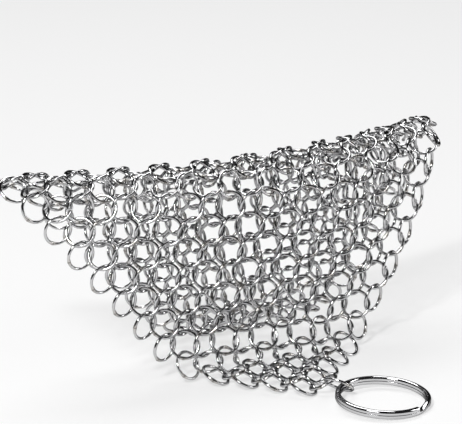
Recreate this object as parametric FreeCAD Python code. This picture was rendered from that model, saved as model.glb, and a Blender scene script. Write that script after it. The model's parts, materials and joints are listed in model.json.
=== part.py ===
# Pot scrubber of welded steel rings: a square sheet of ring mesh hung corner down,
# with a connector ring and a flat split ring on its lowest corner. Millimetres, +Z up.
import FreeCAD, Part
import os
from math import asin, cos, degrees, pi, radians, sin, sqrt

Vec = FreeCAD.Vector

# One mesh ring: outside diameter and wire diameter
RING_OUTER = 10.0
WIRE = 1.0

# The sheet: rings along one edge, and how far linked rings stand apart,
# as shares of the opening that the two wires leave inside a ring
EDGE_RINGS = 14
ROW_REACH_SHARE = 0.955
COLUMN_REACH_SHARE = 0.89
# Where the sheet isn't stretched by its own weight its rows close up to this share
SLACK_ROW_SHARE = 0.88
# The split ring hangs on one more ring, in this column and row beside the lowest corner
HANG_RING = (1, 0)
# Rows whose outermost rings are nodes of their own, because they swing
LOOSE_ROWS = range(5, 11)
# Turn of a ring out of the sheet, about a row and about a column, per share of wire to ring radius
TURN_ABOUT_ROW_SHARE = 1.335
TURN_ABOUT_COLUMN_SHARE = 1.637
# Least air between two wires once the rings have settled
CLEARANCE = 0.06

# The drape: the rows curve round a rim, fold over it and fold again where they reach the ground
RIM_RADIUS = 225.0
RIDGE_RADIUS = 11.0
FOLD_RADIUS = 11.0
ROWS_PAST_MIDDLE = 0.56
LYING_ROWS = 3.2
SWING = radians(4.6)
# The right side is pulled up: from this place on, rows bend upwards on this radius, by this angle
LIFT_START = 22.8
LIFT_RADIUS = 46.7
LIFT_ANGLE = radians(25.0)

# Split ring: outside diameter, and the strip that its two turns are wound from,
# which is well rounded on its outer face and only eased where the turns meet
SPLIT_OUTER = 30.0
STRIP_WIDTH = 1.7
STRIP_HEIGHT = 1.3
STRIP_ROUND = 0.7
STRIP_CORNER = 0.12
TURN_GAP = 0.08
STEP_ANGLE = radians(26.0)
END_GAP = 0.8
STEP_SECTIONS = 7
STEP_BEARING = radians(-57.0)

# How the connector ring and the split ring lie in front of the corner; the connector stands
# off the ring that carries it by a share of the opening inside a ring
CONNECTOR_REACH_SHARE = 0.8
CONNECTOR_BEARING = radians(-70.0)
CONNECTOR_LEAN = radians(39.0)
SPLIT_BEARING = radians(-60.0)
# How far beyond and below the middle of the connector the strip runs
STRIP_OFFSET = 1.5
STRIP_DROP = 0.35

# Settling: samples round a ring, rounds, and the share of an overlap that one push clears;
# the wire starts at a share of its thickness and grows during the first rounds
SAMPLES = 30
ROUNDS = 400
GROWING_ROUNDS = 60
THIN_SHARE = 0.5
PUSH_SHARE = 0.3
SETTLED_SHARE = 0.1

RING_RADIUS = (RING_OUTER - WIRE) / 2
OPENING = RING_OUTER - 2 * WIRE
ROW_PITCH = OPENING * ROW_REACH_SHARE
COLUMN_PITCH = OPENING * COLUMN_REACH_SHARE
TURN_ABOUT_ROW = TURN_ABOUT_ROW_SHARE * WIRE / RING_RADIUS
TURN_ABOUT_COLUMN = TURN_ABOUT_COLUMN_SHARE * WIRE / RING_RADIUS
MIDDLE_ROW = EDGE_RINGS - 1
LAST_ROW = 2 * MIDDLE_ROW
RIDGE_ROW = MIDDLE_ROW + ROWS_PAST_MIDDLE
SPLIT_RADIUS = (SPLIT_OUTER - STRIP_WIDTH) / 2
TURN_RISE = (STRIP_HEIGHT + TURN_GAP) / 2
CONNECTOR_REACH = OPENING * CONNECTOR_REACH_SHARE
UP = Vec(0, 0, 1)


def unit(vector):
    return vector * (1 / vector.Length)


def turned(vector, spin):
    """The vector turned about the direction of spin by the length of spin, in radians."""
    angle = spin.Length
    if angle == 0:
        return vector
    axis = spin * (1 / angle)
    across = axis.cross(vector)
    along = axis * axis.dot(vector)
    return along + (vector - along) * cos(angle) + across * sin(angle)


def ring_normal(row_way, column_way, hand):
    """The axis of a ring in a sheet with these two ways; neighbouring rings have opposite hands."""
    spin = row_way * (hand * TURN_ABOUT_ROW) + column_way * (hand * TURN_ABOUT_COLUMN)
    return turned(row_way.cross(column_way), spin)


def half_span(normal, way):
    """Half the room that a ring with this axis takes up along a direction."""
    return RING_RADIUS * sqrt(max(0, 1 - normal.dot(way) ** 2)) + WIRE / 2


LYING_HEIGHT = half_span(ring_normal(Vec(1, 0, 0), Vec(0, 1, 0), 1), UP)
RIDGE_LENGTH = RIDGE_RADIUS * pi / 2 / SLACK_ROW_SHARE
FOLD_LENGTH = FOLD_RADIUS * pi / 2 / SLACK_ROW_SHARE
HANG_LENGTH = (RIDGE_ROW - LYING_ROWS) * ROW_PITCH - RIDGE_LENGTH - FOLD_LENGTH
RIDGE_HEIGHT = LYING_HEIGHT + FOLD_RADIUS + HANG_LENGTH + RIDGE_RADIUS


def section(length):
    """Distance out from the ridge, height, and share of the rim's curve, down one side of the drape."""
    if length < RIDGE_LENGTH:
        angle = length * SLACK_ROW_SHARE / RIDGE_RADIUS
        return RIDGE_RADIUS * sin(angle), RIDGE_HEIGHT - RIDGE_RADIUS * (1 - cos(angle)), 1
    length -= RIDGE_LENGTH
    if length < HANG_LENGTH:
        return RIDGE_RADIUS, RIDGE_HEIGHT - RIDGE_RADIUS - length, 1 - length / HANG_LENGTH
    length -= HANG_LENGTH
    if length < FOLD_LENGTH:
        angle = length * SLACK_ROW_SHARE / FOLD_RADIUS
        out = RIDGE_RADIUS + FOLD_RADIUS * (1 - cos(angle))
        return out, LYING_HEIGHT + FOLD_RADIUS * (1 - sin(angle)), 0
    length -= FOLD_LENGTH
    return RIDGE_RADIUS + FOLD_RADIUS + length * SLACK_ROW_SHARE, LYING_HEIGHT, 0


def place(column, row):
    """Where a point of the sheet lies, by column and row; whole numbers are ring centres."""
    across = column * COLUMN_PITCH
    along = (row - RIDGE_ROW) * ROW_PITCH
    side = across * cos(SWING) + along * sin(SWING)
    length = along * cos(SWING) - across * sin(SWING)
    if side > LIFT_START:
        angle = min((side - LIFT_START) / LIFT_RADIUS, LIFT_ANGLE)
        straight = side - LIFT_START - LIFT_RADIUS * angle
        side = LIFT_START + LIFT_RADIUS * sin(angle) + straight * cos(angle)
        length += LIFT_RADIUS * (1 - cos(angle)) + straight * sin(angle)
    face = -1 if length < 0 else 1
    out, height, curve_share = section(abs(length))
    radius = RIM_RADIUS - RIDGE_RADIUS - face * out
    side *= 1 + curve_share * (radius / RIM_RADIUS - 1)
    if curve_share == 0:
        return Vec(side, face * out, height)
    radius /= curve_share
    angle = side / radius
    return Vec(radius * sin(angle), face * out + radius * (1 - cos(angle)), height)


def half_row(row):
    """How many rings a row has on each side of its middle ring."""
    return min(row, LAST_ROW - row)


def draped_rings():
    """Centre and axis of every ring, by column and row."""
    step = 1 / 4
    keys = [HANG_RING]
    for row in range(LAST_ROW + 1):
        keys += [(column, row) for column in range(-half_row(row), half_row(row) + 1)]
    rings = {}
    for column, row in keys:
        row_way = unit(place(column + step, row) - place(column - step, row))
        column_way = place(column, row + step) - place(column, row - step)
        column_way = unit(column_way - row_way * row_way.dot(column_way))
        hand = 1 if (column + row) % 2 == 0 else -1
        rings[column, row] = [place(column, row), ring_normal(row_way, column_way, hand)]
    return rings


STEPS = [2 * pi * n / SAMPLES for n in range(SAMPLES)]
ROUND_STEPS = [(cos(step), sin(step)) for step in STEPS]


def close_points(one, other, reach):
    """Pairs of points where the wire of one ring comes nearer than reach to the wire of the other."""
    centre, normal = one
    far_centre, far_normal = other
    first = unit(normal.cross(UP if abs(normal.z) < 0.9 else Vec(1, 0, 0)))
    second = normal.cross(first)
    apart = centre - far_centre
    rise = apart.dot(far_normal)
    rise_first = RING_RADIUS * first.dot(far_normal)
    rise_second = RING_RADIUS * second.dot(far_normal)
    square = apart.dot(apart) + RING_RADIUS ** 2
    square_first = 2 * RING_RADIUS * first.dot(apart)
    square_second = 2 * RING_RADIUS * second.dot(apart)

    def gap(c, s):
        height = rise + rise_first * c + rise_second * s
        flat = sqrt(max(0.0, square + square_first * c + square_second * s - height ** 2))
        return (flat - RING_RADIUS) ** 2 + height ** 2

    gaps = [gap(c, s) for c, s in ROUND_STEPS]
    found = []
    for n in range(SAMPLES):
        before, here, after = gaps[n - 1], gaps[n], gaps[(n + 1) % SAMPLES]
        if here > before or here >= after:
            continue
        angle = STEPS[n]
        width = STEPS[1] / 2
        for _ in range(4):
            low, mid, high = [gap(cos(angle + t), sin(angle + t)) for t in (-width, 0, width)]
            bend = low - 2 * mid + high
            if bend > 0:
                angle += max(-width, min(width, width * (low - high) / (2 * bend)))
            width /= 3
        if gap(cos(angle), sin(angle)) < reach ** 2:
            point = centre + (first * cos(angle) + second * sin(angle)) * RING_RADIUS
            flat = point - far_centre
            flat -= far_normal * flat.dot(far_normal)
            found.append((point, far_centre + unit(flat) * RING_RADIUS))
    return found


def settle(rings):
    """Push rings that are too close apart, again and again, until every wire has its clearance."""
    beside = [(c, r) for c in range(-2, 3) for r in range(3) if r > 0 or c > 0]
    pairs = [(key, (key[0] + c, key[1] + r)) for key in rings for c, r in beside]
    pairs = [pair for pair in pairs if pair[1] in rings]
    for turn in range(ROUNDS):
        worst = 0.0
        grown = min(1, THIN_SHARE + (1 - THIN_SHARE) * turn / GROWING_ROUNDS)
        reach = (WIRE + CLEARANCE) * grown
        for near, far in pairs:
            if (rings[near][0] - rings[far][0]).Length > 2 * RING_RADIUS + reach:
                continue
            for point, far_point in close_points(rings[near], rings[far], reach):
                apart = point - far_point
                short = reach - apart.Length
                worst = max(worst, short)
                push = unit(apart) * (short * PUSH_SHARE)
                for key, spot, way in ((near, point, push), (far, far_point, push * -1)):
                    centre, normal = rings[key]
                    spin = (spot - centre).cross(way) * (1 / RING_RADIUS ** 2)
                    rings[key] = [centre + way / 2, unit(turned(normal, spin))]
        for centre, normal in rings.values():
            centre.z = max(centre.z, half_span(normal, UP))
        if grown == 1 and worst < SETTLED_SHARE * CLEARANCE:
            break
    return worst


def torus(ring):
    centre, normal = ring
    return Part.makeTorus(RING_RADIUS, WIRE / 2, centre, normal)


def strip_section(angle, share):
    """The strip's cross-section as a wire, at an angle; share runs from the lower turn to the upper."""
    middle = Vec(SPLIT_RADIUS, 0, -TURN_RISE * cos(pi * share))
    round_top = STRIP_CORNER + (STRIP_ROUND - STRIP_CORNER) * share
    round_base = STRIP_ROUND + STRIP_CORNER - round_top
    corners = []
    for n, (a, b) in enumerate(((1, 1), (-1, 1), (-1, -1), (1, -1))):
        radius = round_top if b > 0 else round_base
        centre = middle + Vec(a * (STRIP_WIDTH / 2 - radius), 0, b * (STRIP_HEIGHT / 2 - radius))
        turns = [(n + part) * pi / 2 for part in (0, 1 / 2, 1)]
        corners.append([centre + Vec(cos(turn), 0, sin(turn)) * radius for turn in turns])
    edges = []
    for corner, after in zip(corners, corners[1:] + corners[:1]):
        edges.append(Part.Arc(*corner).toShape())
        edges.append(Part.makeLine(corner[-1], after[0]))
    outline = Part.Wire(edges)
    outline.rotate(Vec(0, 0, 0), UP, degrees(angle))
    return outline


def split_ring():
    """Two turns of strip, one on the other, joined by a step, lying about the origin."""
    end = STEP_ANGLE / 2 + END_GAP / SPLIT_RADIUS
    turn = degrees(2 * pi - STEP_ANGLE / 2 - end)
    lower = Part.Face(strip_section(end, 0)).revolve(Vec(0, 0, 0), UP, turn)
    upper = Part.Face(strip_section(STEP_ANGLE / 2, 1)).revolve(Vec(0, 0, 0), UP, turn)
    sections = []
    for n in range(STEP_SECTIONS):
        share = n / (STEP_SECTIONS - 1)
        sections.append(strip_section((share - 1 / 2) * STEP_ANGLE, share))
    step = Part.makeLoft(sections, True, True)
    return lower.fuse([step, upper]).removeSplitter().Solids[0]


def heading(bearing):
    """The level direction at this angle from +X."""
    return Vec(cos(bearing), sin(bearing), 0)


def hung_pieces(carrier):
    """The connector ring through the ring that carries it, and the split ring through the connector."""
    across = heading(SPLIT_BEARING + pi / 2)
    normal = turned(UP, UP.cross(across) * CONNECTOR_LEAN)
    centre = carrier[0] + heading(CONNECTOR_BEARING) * CONNECTOR_REACH
    centre.z = half_span(normal, UP)
    strip_height = centre.z - STRIP_DROP
    lean = asin((strip_height - STRIP_HEIGHT - TURN_GAP / 2) / (SPLIT_RADIUS + SPLIT_OUTER / 2))
    ring = split_ring()
    ring.rotate(Vec(0, 0, 0), UP, degrees(STEP_BEARING))
    ring.rotate(Vec(0, 0, 0), across, degrees(lean))
    middle = centre + heading(SPLIT_BEARING) * (SPLIT_RADIUS * cos(lean) + STRIP_OFFSET)
    middle.z = strip_height - SPLIT_RADIUS * sin(lean)
    ring.translate(middle)
    return [centre, normal], ring


def middle_of(rings, solid, way):
    """The middle of the room that the rings and a solid take up along X or Y."""
    ends = []
    for centre, normal in rings:
        ends += [centre.dot(way) + side * half_span(normal, way) for side in (-1, 1)]
    box = solid.optimalBoundingBox(True, False)
    corners = [Vec(box.XMin, box.YMin, 0), Vec(box.XMax, box.YMax, 0)]
    ends += [corner.dot(way) for corner in corners]
    return way * ((min(ends) + max(ends)) / 2)


rings = draped_rings()
print("room still short after settling:", round(settle(rings), 4))
connector, split = hung_pieces(rings[HANG_RING])

# The origin goes under the middle of the whole part
every_ring = list(rings.values()) + [connector]
shift = middle_of(every_ring, split, Vec(1, 0, 0)) + middle_of(every_ring, split, Vec(0, 1, 0))
for ring in every_ring:
    ring[0] = ring[0] - shift
split.translate(shift * -1)

nodes = {"split_ring": [split], "connector_ring": [torus(connector)]}
for (column, row), ring in sorted(rings.items()):
    name = f"mesh_row_{row:02d}"
    if row in LOOSE_ROWS and abs(column) == row:
        name = f"{'left' if column < 0 else 'right'}_edge_ring_{row:02d}"
    nodes.setdefault(name, []).append(torus(ring))

os.makedirs("parts", exist_ok=True)
for name, solids in nodes.items():
    shape = solids[0] if len(solids) == 1 else Part.makeCompound(solids)
    shape.exportStep(f"parts/{name}.step")
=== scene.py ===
import json
import random
from math import atan2, cos, pi, radians, sin

import bpy
import numpy as np
from mathutils import Matrix, Vector


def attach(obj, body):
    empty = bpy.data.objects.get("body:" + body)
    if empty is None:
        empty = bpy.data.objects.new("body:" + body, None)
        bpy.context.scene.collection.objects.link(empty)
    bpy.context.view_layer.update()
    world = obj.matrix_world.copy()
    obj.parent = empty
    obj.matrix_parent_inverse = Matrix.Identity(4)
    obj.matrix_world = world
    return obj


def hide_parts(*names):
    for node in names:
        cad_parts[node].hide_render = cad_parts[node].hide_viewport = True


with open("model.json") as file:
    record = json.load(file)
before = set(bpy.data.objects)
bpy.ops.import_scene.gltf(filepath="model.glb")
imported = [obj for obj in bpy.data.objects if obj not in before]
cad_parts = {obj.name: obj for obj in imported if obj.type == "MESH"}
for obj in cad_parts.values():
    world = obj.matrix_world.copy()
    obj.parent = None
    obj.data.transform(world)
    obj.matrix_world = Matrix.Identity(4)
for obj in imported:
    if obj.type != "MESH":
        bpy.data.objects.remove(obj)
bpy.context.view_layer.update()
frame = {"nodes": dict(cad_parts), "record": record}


# Mesh ring: a length of round stainless wire bent to a circle and butt-welded, tumbled until bright.
# The ends meet in a thin dark seam, and the weld leaves a low bead round it with a trace of straw colour.
# Its sides are few, as the sheet takes hundreds of rings, but keep linked wires apart nearly everywhere.
RING_OUTSIDE = 0.010
WIRE_RADIUS = 0.0005
RING_RADIUS = RING_OUTSIDE / 2 - WIRE_RADIUS
RING_SEGMENTS = 24
WIRE_SEGMENTS = 6
SEGMENT_ANGLE = 2 * pi / RING_SEGMENTS
BEAD_SWELL = 0.00012
WELD_REACH = 1.6 * SEGMENT_ANGLE

bpy.ops.object.select_all(action="DESELECT")
bpy.ops.mesh.primitive_torus_add(major_radius=RING_RADIUS, minor_radius=WIRE_RADIUS,
                                 major_segments=RING_SEGMENTS, minor_segments=WIRE_SEGMENTS)
ring = bpy.context.object
ring.name = "ring_pattern"
weld = ring.data.attributes.new("weld", "FLOAT", "POINT")
for vertex in ring.data.vertices:
    angle_away = abs(atan2(vertex.co.y, vertex.co.x))
    weld.data[vertex.index].value = max(0.0, 1 - angle_away / WELD_REACH)

bpy.ops.object.mode_set(mode="EDIT")
bpy.ops.mesh.select_all(action="DESELECT")
bpy.ops.object.mode_set(mode="OBJECT")
for vertex in ring.data.vertices:
    vertex.select = abs(atan2(vertex.co.y, vertex.co.x)) < SEGMENT_ANGLE / 2
bpy.ops.object.mode_set(mode="EDIT")
bpy.ops.transform.shrink_fatten(value=BEAD_SWELL)
bpy.ops.object.mode_set(mode="OBJECT")
bpy.ops.object.shade_smooth()


class Shade:
    """A shader socket: sums and products with it add Math nodes, and node() adds a node of any type."""

    def __init__(self, tree, socket=None):
        self.tree = tree
        self.socket = socket

    def node(self, kind, settings=None, inputs=None, output=0):
        made = self.tree.nodes.new(kind)
        for name, value in (settings or {}).items():
            setattr(made, name, value)
        for name, value in (inputs or {}).items():
            if isinstance(value, Shade):
                self.tree.links.new(value.socket, made.inputs[name])
            else:
                made.inputs[name].default_value = value
        return Shade(self.tree, made.outputs[output])

    def maths(self, operation, one, two):
        return self.node("ShaderNodeMath", {"operation": operation}, {0: one, 1: two})

    def __add__(self, other):
        return self.maths("ADD", self, other)

    def __mul__(self, other):
        return self.maths("MULTIPLY", self, other)

    __radd__ = __add__
    __rmul__ = __mul__


def blend(shade, share, one, two):
    """A colour that goes from one to two as the share goes from 0 to 1."""
    return shade.node("ShaderNodeMix", {"data_type": "RGBA"}, {0: share, 6: one, 7: two}, 2)


GRAZING_TINT = (0.12, 0.12, 0.12, 1)


def new_finish(name):
    """A bare metal finish, dimmed at a grazing angle so that wire keeps its outline on a white floor."""
    finish = bpy.data.materials.new(name)
    finish.use_nodes = True
    tree = finish.node_tree
    shader = tree.nodes["Principled BSDF"]
    shader.inputs["Metallic"].default_value = 1.0
    shader.inputs["Specular Tint"].default_value = GRAZING_TINT
    place = Shade(tree).node("ShaderNodeTexCoord", output="Object")
    return finish, shader, place


def feed(shader, socket, shade):
    """Link a worked-out value or colour to one of the shader's sockets."""
    shade.tree.links.new(shade.socket, shader.inputs[socket])


STEEL_DULL = (0.48, 0.48, 0.49, 1)
STEEL_BRIGHT = (0.66, 0.66, 0.665, 1)
STRAW_TINT = (0.5, 0.45, 0.38, 1)
STRAW_SHARE = 0.45
SEAM_DARK = (0.1, 0.095, 0.09, 1)
SEAM_SHARE = 0.8
HANDLING_SCALE = 55.0
GRAIN_SCALE = 2600.0
WIRE_ROUGHNESS = 0.02
HANDLING_ROUGHNESS = 0.06
GRAIN_ROUGHNESS = 0.04
WELD_ROUGHNESS = 0.18

ring_wire, shader, place = new_finish("tumbled_stainless_wire")
patches = {"Vector": place, "Scale": HANDLING_SCALE, "Detail": 3.0}
handling = place.node("ShaderNodeTexNoise", None, patches)
specks = {"Vector": place, "Scale": GRAIN_SCALE, "Detail": 2.0}
grain = place.node("ShaderNodeTexNoise", None, specks)
welded = place.node("ShaderNodeAttribute", {"attribute_name": "weld"}, output="Fac")
seam = place.node("ShaderNodeMapRange", None, {"Value": welded, "From Min": 0.86, "From Max": 0.96})
steel = blend(place, handling, STEEL_DULL, STEEL_BRIGHT)
tinted = blend(place, welded * STRAW_SHARE, steel, STRAW_TINT)
feed(shader, "Base Color", blend(place, seam * SEAM_SHARE, tinted, SEAM_DARK))
rough = WIRE_ROUGHNESS + HANDLING_ROUGHNESS * handling + GRAIN_ROUGHNESS * grain + WELD_ROUGHNESS * welded
feed(shader, "Roughness", rough)
relief = {"Strength": 0.12, "Distance": 0.00005, "Height": grain + welded}
feed(shader, "Normal", place.node("ShaderNodeBump", None, relief))
ring.data.materials.append(ring_wire)


# The sheet: every ring passes through its neighbours, and its weld lies clear of these links, in the
# roomiest of a few places drawn at random. Rows across the diagonal are one piece each, and so is every
# edge ring that swings and the connector that carries the split ring.
WELD_TRIES = 8
WELD_SEED = 27
MERGE_DISTANCE = 0.000001


def loose_rings(node):
    """Centre and axis of each ring of a node, from its separate solids."""
    bpy.ops.object.select_all(action="DESELECT")
    copy = frame["nodes"][node].copy()
    copy.data = copy.data.copy()
    bpy.context.collection.objects.link(copy)
    copy.select_set(True)
    bpy.context.view_layer.objects.active = copy
    bpy.ops.object.mode_set(mode="EDIT")
    bpy.ops.mesh.select_all(action="SELECT")
    bpy.ops.mesh.remove_doubles(threshold=MERGE_DISTANCE)
    bpy.ops.mesh.separate(type="LOOSE")
    bpy.ops.object.mode_set(mode="OBJECT")
    found = []
    for piece in bpy.context.selected_objects:
        points = np.array([vertex.co[:] for vertex in piece.data.vertices])
        centre = points.mean(axis=0)
        axis = np.linalg.svd(points - centre, full_matrices=False)[2][2]
        found.append((tuple(centre), tuple(axis * (1 if axis[2] >= 0 else -1))))
    bpy.ops.object.delete()
    return sorted(found)


bodies = frame["record"]["behaviour"]["bodies"]
body_of = {node: body for body, nodes in bodies.items() for node in nodes}
ring_nodes = sorted(node for node in frame["nodes"] if node != "split_ring")
rings = {node: loose_rings(node) for node in ring_nodes}
centres, axes = np.array([placed for row in rings.values() for placed in row]).transpose(1, 0, 2)


def room(centre, way):
    """Distance from the middle of a ring's wire, on one side of the ring, to the next wire or the floor."""
    spot = np.array(centre) + RING_RADIUS * np.array(way)
    others = np.any(centres != centre, axis=1)
    away = spot - centres[others]
    along = (away * axes[others]).sum(axis=1)
    outwards = np.linalg.norm(away - along[:, None] * axes[others], axis=1)
    next_wire = np.hypot(outwards - RING_RADIUS, along).min() - WIRE_RADIUS
    return min(next_wire, spot[2])


chance = random.Random(WELD_SEED)
for node in ring_nodes:
    copies = []
    for centre, axis in rings[node]:
        side = Vector(axis).orthogonal().normalized()
        ways = [Matrix.Rotation(chance.uniform(0, 2 * pi), 3, axis) @ side for _ in range(WELD_TRIES)]
        to_weld = max(ways, key=lambda way: room(centre, way))
        turn = Matrix((to_weld, Vector(axis).cross(to_weld), axis)).transposed().to_4x4()
        copy = ring.copy()
        copy.data = ring.data.copy()
        copy.data.transform(Matrix.Translation(centre) @ turn)
        bpy.context.collection.objects.link(copy)
        copies.append(copy)
    bpy.ops.object.select_all(action="DESELECT")
    for copy in copies:
        copy.select_set(True)
    bpy.context.view_layer.objects.active = copies[0]
    if len(copies) > 1:
        bpy.ops.object.join()
    wires = bpy.context.view_layer.objects.active
    wires.name = f"{node}_wire"
    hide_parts(node)
    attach(wires, body_of[node])
bpy.data.objects.remove(ring)


# Split ring: two turns of rolled spring-steel strip, one on the other with a step between them,
# bright plated. Its outer faces are well rounded, and a hook or nail through it holds the scrubber up.
SPLIT_RING_OUTSIDE = 0.030
STRIP_WIDTH = 0.0017
STRIP_HEIGHT = 0.0013
STRIP_ROUND = 0.0007
STRIP_CORNER = 0.00012
STRIP_RADIUS = SPLIT_RING_OUTSIDE / 2 - STRIP_WIDTH / 2
TURN_GAP = 0.00008
TURN_RISE = (STRIP_HEIGHT + TURN_GAP) / 2
STEP_ANGLE = radians(26.0)
STEP_BEARING = radians(-57.0)
END_GAP = 0.0008
END_ANGLE = END_GAP / STRIP_RADIUS
TURN_ANGLE = 2 * pi - STEP_ANGLE - END_ANGLE
CORNER_SEGMENTS = 4
TURN_SEGMENTS = 84
STEP_CUTS = 6
STEP_EASE = 0.7
SHARP_ANGLE = radians(40.0)
PLATING_DULL = (0.5, 0.5, 0.51, 1)
PLATING_BRIGHT = (0.65, 0.65, 0.655, 1)
WEAR_SCALE = 180.0
HAIRLINE_SCALE = 1800.0
PLATING_ROUGHNESS = 0.01
WEAR_ROUGHNESS = 0.06
HAIRLINE_ROUGHNESS = 0.03


def choose(mesh_piece, kind, wanted):
    """Select the vertices or faces of a piece in edit mode that a test accepts."""
    bpy.ops.mesh.select_all(action="DESELECT")
    bpy.ops.mesh.select_mode(type="VERT" if kind == "vertices" else "FACE")
    bpy.ops.object.mode_set(mode="OBJECT")
    for element in getattr(mesh_piece.data, kind):
        element.select = bool(wanted(element))
    bpy.ops.object.mode_set(mode="EDIT")


bpy.ops.object.select_all(action="DESELECT")
bpy.ops.mesh.primitive_plane_add(size=1.0)
strip = bpy.context.object
strip.name = "split_ring_strip"
bpy.ops.object.mode_set(mode="EDIT")
bpy.ops.mesh.select_all(action="SELECT")
bpy.ops.transform.resize(value=(STRIP_WIDTH, STRIP_HEIGHT, 1))
bpy.ops.transform.rotate(value=pi / 2, orient_axis="X", center_override=(0, 0, 0))
bpy.ops.transform.translate(value=(STRIP_RADIUS, 0, -TURN_RISE))
choose(strip, "vertices", lambda corner: corner.co.z < -TURN_RISE)
bpy.ops.mesh.bevel(offset=STRIP_ROUND, segments=CORNER_SEGMENTS, affect="VERTICES")
inner_face = STRIP_HEIGHT / 2 - TURN_RISE
choose(strip, "vertices", lambda corner: corner.co.z > inner_face - STRIP_CORNER / 2)
bpy.ops.mesh.bevel(offset=STRIP_CORNER, segments=CORNER_SEGMENTS, affect="VERTICES")

bpy.ops.mesh.select_all(action="SELECT")
bpy.ops.mesh.spin(steps=TURN_SEGMENTS, angle=TURN_ANGLE, center=(0, 0, 0), axis=(0, 0, -1))
bpy.ops.mesh.select_all(action="SELECT")
bpy.ops.transform.rotate(value=-STEP_ANGLE / 2 - END_ANGLE, orient_axis="Z", center_override=(0, 0, 0))
bpy.ops.mesh.duplicate()
bpy.ops.transform.resize(value=(1, 1, -1), center_override=(0, 0, 0))
bpy.ops.transform.rotate(value=END_ANGLE, orient_axis="Z", center_override=(0, 0, 0))


def faces_step(face):
    """The end of the lower turn and the start of the upper one, which the step joins."""
    bearing = atan2(face.center.y, face.center.x)
    wanted = STEP_ANGLE / 2 * (-1 if face.center.z < 0 else 1)
    is_end = len(face.vertices) > 4
    return is_end and abs(bearing - wanted) < END_ANGLE / 2


choose(strip, "polygons", faces_step)
bpy.ops.mesh.delete(type="ONLY_FACE")
bpy.ops.mesh.select_mode(type="EDGE")
bpy.ops.mesh.select_non_manifold()
bpy.ops.mesh.bridge_edge_loops(number_cuts=STEP_CUTS, interpolation="SURFACE", smoothness=STEP_EASE)
bpy.ops.mesh.select_all(action="SELECT")
bpy.ops.mesh.normals_make_consistent(inside=False)
bpy.ops.object.mode_set(mode="OBJECT")
bpy.ops.object.shade_smooth_by_angle(angle=SHARP_ANGLE)

bright, shader, place = new_finish("bright_plated_strip")
patches = {"Vector": place, "Scale": WEAR_SCALE, "Detail": 4.0}
wear = place.node("ShaderNodeTexNoise", None, patches)
scratches = {"Vector": place, "Scale": HAIRLINE_SCALE, "Detail": 2.0}
hairlines = place.node("ShaderNodeTexNoise", None, scratches)
feed(shader, "Base Color", blend(place, wear, PLATING_DULL, PLATING_BRIGHT))
feed(shader, "Roughness", PLATING_ROUGHNESS + WEAR_ROUGHNESS * wear + HAIRLINE_ROUGHNESS * hairlines)
relief = {"Strength": 0.08, "Distance": 0.00004, "Height": hairlines}
feed(shader, "Normal", place.node("ShaderNodeBump", None, relief))
strip.data.materials.append(bright)

loop = frame["record"]["mounts"][0]
tilt = Vector((0, 0, 1)).rotation_difference(Vector(loop["axis"])).to_matrix().to_4x4()
strip.data.transform(Matrix.Translation(loop["pos_m"]) @ tilt @ Matrix.Rotation(STEP_BEARING, 4, "Z"))
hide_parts("split_ring")
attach(strip, body_of["split_ring"])


# Stage: a plain white floor under soft light from the left, the right and above, in a dark room, so that
# the bright wire shows dark lines beside its highlights. A small lamp in the left screen draws the shadows.
# The camera looks down on the sheet from its left, as in the photograph.
FLOOR_COLOUR = (0.86, 0.86, 0.86, 1)
FLOOR_ROUGHNESS = 0.6
FLOOR_GLOW_SHARE = 0.55
FLOOR_SIZE = 6.0

floor_finish = bpy.data.materials.new("pale_floor")
floor_finish.use_nodes = True
floor_tree = floor_finish.node_tree
floor_shader = floor_tree.nodes["Principled BSDF"]
floor_shader.inputs["Base Color"].default_value = FLOOR_COLOUR
floor_shader.inputs["Roughness"].default_value = FLOOR_ROUGHNESS
lit = Shade(floor_tree, floor_shader.outputs["BSDF"])
seen = lit.node("ShaderNodeLightPath", output="Is Camera Ray")
mirrored = lit.node("ShaderNodeLightPath", output="Is Glossy Ray")
glow = lit.node("ShaderNodeEmission", None, {"Color": (1, 1, 1, 1), "Strength": 1.0})
glow_share = FLOOR_GLOW_SHARE * (seen + mirrored)
white = lit.node("ShaderNodeMixShader", None, {0: glow_share, 1: lit, 2: glow})
feed(floor_tree.nodes["Material Output"], "Surface", white)

bpy.ops.object.select_all(action="DESELECT")
bpy.ops.mesh.primitive_plane_add(size=FLOOR_SIZE)
floor = bpy.context.object
floor.name = "floor"
floor.data.materials.append(floor_finish)

ROOM_COLOUR = (0.5, 0.5, 0.51, 1)
ROOM_STRENGTH = 0.04
AIM = Vector((0, 0, 0.03))

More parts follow.
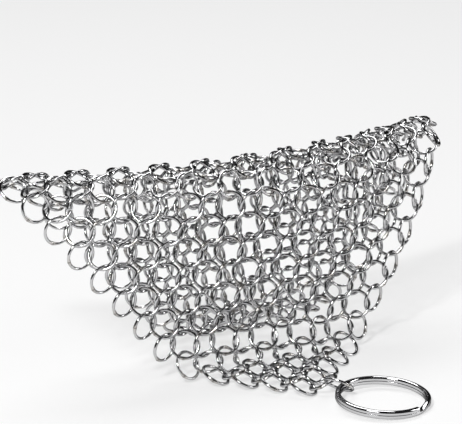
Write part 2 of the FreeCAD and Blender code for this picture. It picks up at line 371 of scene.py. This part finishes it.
world = bpy.data.worlds.new("studio")
bpy.context.scene.world = world
world.use_nodes = True
backdrop = world.node_tree.nodes["Background"]
backdrop.inputs["Color"].default_value = ROOM_COLOUR
backdrop.inputs["Strength"].default_value = ROOM_STRENGTH


def softbox(name, place, size, power):
    """A rectangular lamp that faces the scrubber."""
    lamp = bpy.data.lights.new(name, "AREA")
    lamp.shape = "RECTANGLE"
    lamp.size, lamp.size_y = size
    lamp.energy = power
    box = bpy.data.objects.new(name, lamp)
    box.location = place
    box.rotation_euler = (AIM - Vector(place)).to_track_quat("-Z", "Y").to_euler()
    bpy.context.collection.objects.link(box)


softbox("key_left", place=(-0.6, -0.45, 0.75), size=(0.1, 0.1), power=5.5)
softbox("screen_left", place=(-0.63, -0.47, 0.79), size=(0.45, 0.45), power=4.0)
softbox("fill_right", place=(0.75, -0.45, 0.45), size=(0.16, 0.6), power=2.4)
softbox("top_back", place=(0.1, 0.5, 0.9), size=(0.8, 0.4), power=6.0)

AZIMUTH = radians(-29.2)
ELEVATION = radians(17.04)
DISTANCE = 0.88
FRAME_WIDTH = 462
FRAME_HEIGHT = 424
PIXELS_PER_METRE = 3122.0
AIM_PIXEL = (277.0, 279.6)

back = Vector((sin(AZIMUTH) * cos(ELEVATION), -cos(AZIMUTH) * cos(ELEVATION), sin(ELEVATION)))
right = Vector((cos(AZIMUTH), sin(AZIMUTH), 0))
up = back.cross(right)
middle = AIM - right * ((AIM_PIXEL[0] - FRAME_WIDTH / 2) / PIXELS_PER_METRE)
middle += up * ((AIM_PIXEL[1] - FRAME_HEIGHT / 2) / PIXELS_PER_METRE)
lens = bpy.data.cameras.new("camera")
lens.lens = PIXELS_PER_METRE * DISTANCE * lens.sensor_width / FRAME_WIDTH
camera = bpy.data.objects.new("camera", lens)
camera.location = middle + back * DISTANCE
camera.rotation_euler = back.to_track_quat("Z", "Y").to_euler()
bpy.context.collection.objects.link(camera)
bpy.context.scene.camera = camera
bpy.context.scene.view_settings.view_transform = "Standard"
